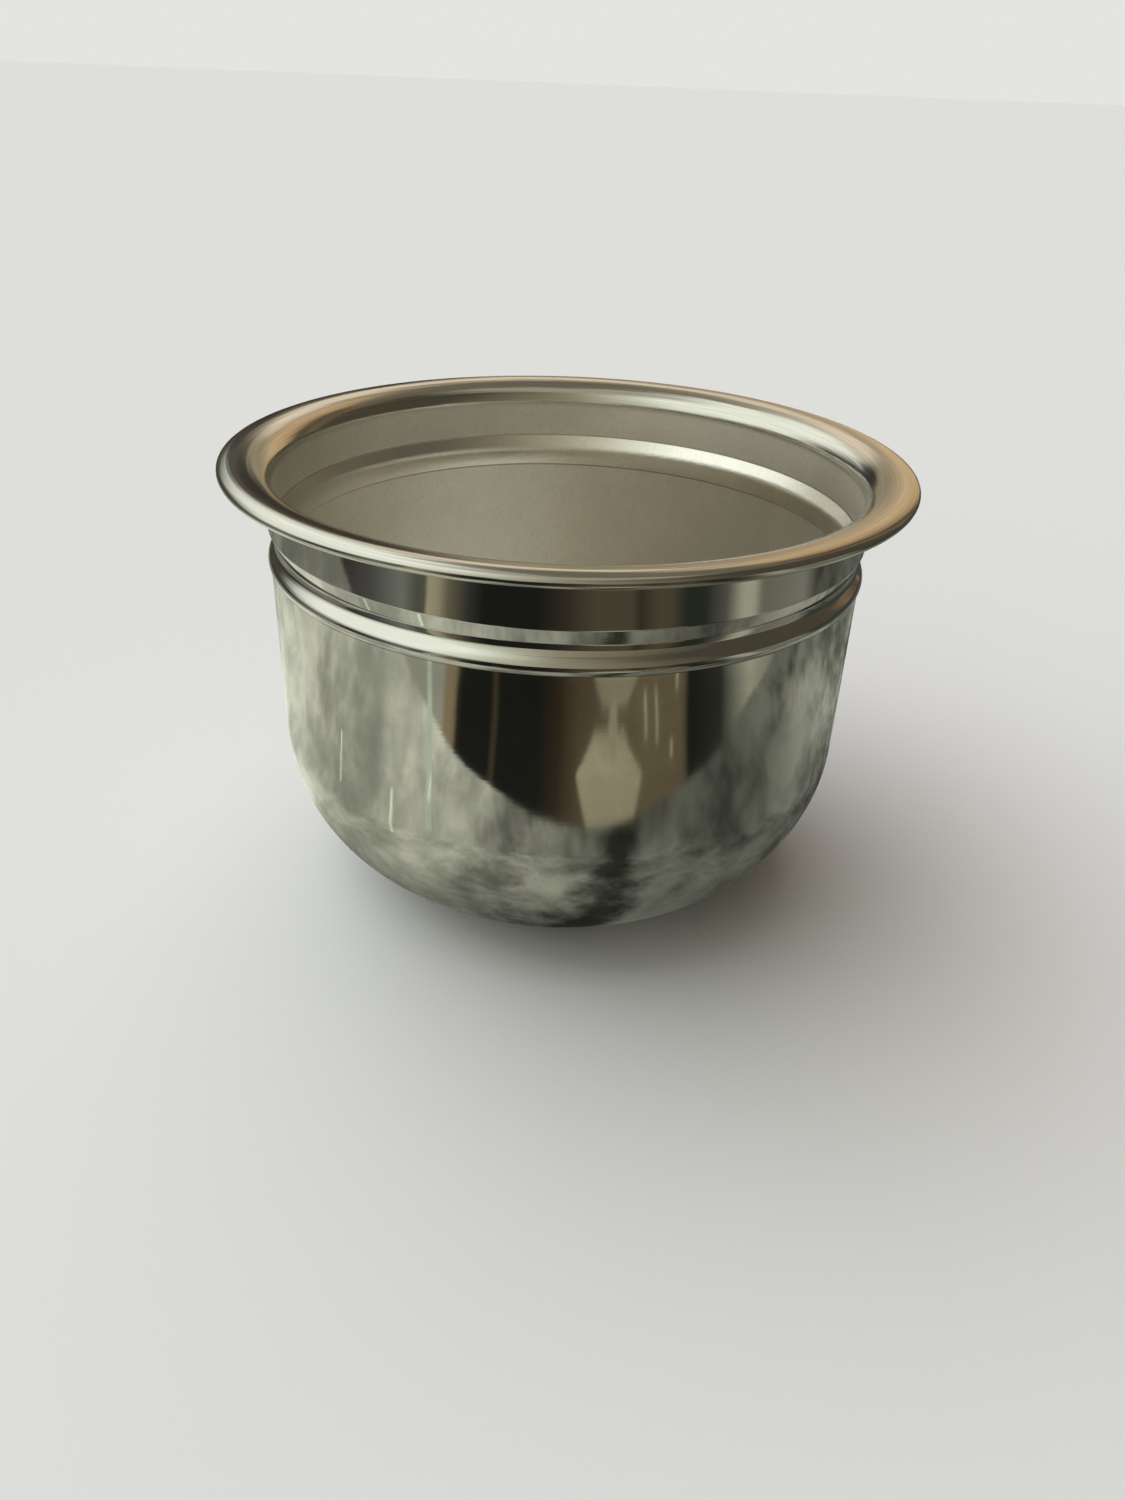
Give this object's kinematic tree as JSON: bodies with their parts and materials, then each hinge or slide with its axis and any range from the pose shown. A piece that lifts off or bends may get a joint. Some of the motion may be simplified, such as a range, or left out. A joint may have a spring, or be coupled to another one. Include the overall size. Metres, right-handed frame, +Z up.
{
  "type": "shaving mug",
  "caption": "Handle-less double-walled steel shaving mug: flared and hemmed lip, grooved and beaded neck, rounded bottom with a vent plug and a non-slip foot ring.",
  "frame": {"origin": "centre of the foot ring's underside, on the mug's axis, where the mug stands on the table", "axes": "+Z up along the axis of the mug, out of its mouth; the mug is round, so X and Y point anywhere level"},
  "size_m": [0.11, 0.11, 0.0737],
  "materials": {
    "satin_steel": "fine satin inside, polished on the flared lip",
    "polished_steel": "mirror polish with fine turning lines and a light haze",
    "foot_silicone": "matte moulded silicone",
    "plug_rubber": "matte moulded rubber"
  },
  "bodies": {
    "root": {"inner_bowl": "satin_steel", "outer_shell": "polished_steel", "foot_ring": "foot_silicone", "vent_plug": "plug_rubber"}
  },
  "joints": []
}
